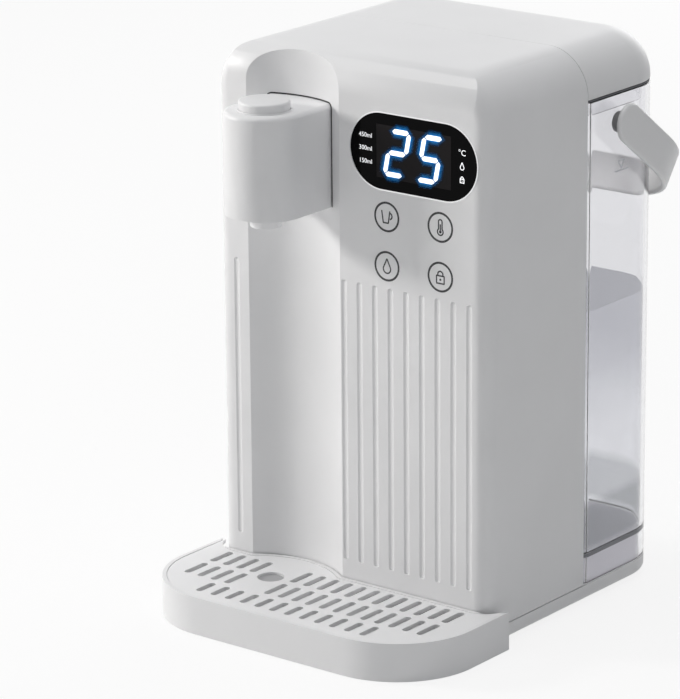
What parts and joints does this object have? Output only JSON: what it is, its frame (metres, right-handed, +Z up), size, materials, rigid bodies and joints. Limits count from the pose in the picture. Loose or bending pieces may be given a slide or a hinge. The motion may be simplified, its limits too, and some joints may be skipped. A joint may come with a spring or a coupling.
{
  "type": "instant hot water dispenser",
  "caption": "Desktop instant hot water dispenser: white front unit with spout, press button, display and slotted drip tray, clear lift-off rear tank with lid and swing handle.",
  "frame": {"origin": "on the table, under the middle of the whole object (middle of its bounding box in X and Y)", "axes": "+Z up, the front with spout and display faces -Y, +X to the right seen from behind the front"},
  "size_m": [0.19, 0.2488, 0.293],
  "materials": {
    "white_shell": "satin white ABS",
    "clear_tank": "clear polished plastic",
    "grey_part": "grey moulded plastic",
    "black_glass": "glossy black acrylic window",
    "white_part": "natural white plastic",
    "poppet_grey": "grey plastic",
    "rubber": "dark matt rubber",
    "seal_grey": "translucent grey silicone",
    "steel": "plain steel",
    "board_green": "green circuit board",
    "black_part": "black plastic"
  },
  "bodies": {
    "body": {"base_tub": "white_shell", "front_housing": "white_shell", "rear_bulkhead": "white_shell", "spout_housing": "white_shell", "spout_floor": "white_shell", "button_collar": "white_shell", "tank_deck": "white_shell", "dock_socket": "white_shell", "nozzle": "grey_part", "pump_head": "grey_part", "pump_cradle": "grey_part", "power_parts": "grey_part", "led_module": "grey_part", "display_window": "black_glass", "flow_sensor": "white_part", "rubber_feet": "rubber", "dock_seal": "rubber", "cord_gland": "rubber", "gland_nut": "rubber", "inlet_hose": "seal_grey", "feed_hose": "seal_grey", "outlet_hose": "seal_grey", "base_screws": "steel", "bulkhead_screws": "steel", "spout_screws": "steel", "board_screws": "steel", "button_spring": "steel", "touch_springs": "steel", "heater_body": "steel", "heater_bracket": "steel", "pump_motor": "steel", "display_board": "board_green", "power_board": "board_green", "switch_carrier": "board_green", "button_switch": "black_part", "thermal_cutouts": "black_part"},
    "button": {"dispense_button": "white_shell"},
    "tray": {"drip_tray": "white_shell"},
    "grille": {"drip_grille": "white_shell"},
    "tank": {"tank_shell": "clear_tank", "tank_valve": "white_part", "valve_spring": "steel", "tank_filter": "white_part", "handle_pivots": "grey_part"},
    "poppet": {"valve_poppet": "poppet_grey"},
    "lid": {"tank_lid": "white_shell", "lid_liner": "white_shell", "lid_seal": "seal_grey"},
    "handle": {"tank_handle": "white_shell"}
  },
  "joints": [
    {"name": "button_press", "type": "slide", "parent": "body", "child": "button", "axis": [0, 0, -1], "range_m": [0, 0.0025], "stiffness_N_per_m": 600, "springref_m": -0.002, "deforming": ["button_spring"]},
    {"name": "tray_slide", "type": "slide", "parent": "body", "child": "tray", "axis": [0, -1, 0], "range_m": [0, 0.08]},
    {"name": "grille_lift", "type": "slide", "parent": "tray", "child": "grille", "axis": [0, 0, 1], "range_m": [0, 0.03]},
    {"name": "tank_lift", "type": "slide", "parent": "body", "child": "tank", "axis": [0, 0, 1], "range_m": [0, 0.25]},
    {"name": "poppet_slide", "type": "slide", "parent": "tank", "child": "poppet", "axis": [0, 0, -1], "range_m": [0, 0.0024], "deforming": ["valve_spring"]},
    {"name": "lid_lift", "type": "slide", "parent": "tank", "child": "lid", "axis": [0, 0, 1], "range_m": [0, 0.02]},
    {"name": "handle_swing", "type": "hinge", "parent": "tank", "child": "handle", "pos_m": [0, 0.05557, 0.252], "axis": [1, 0, 0], "range_deg": [0, 126.5]}
  ],
  "couplings": [
    {"joint": "poppet_slide", "follows": "tank_lift", "ratio": 0.0096}
  ]
}
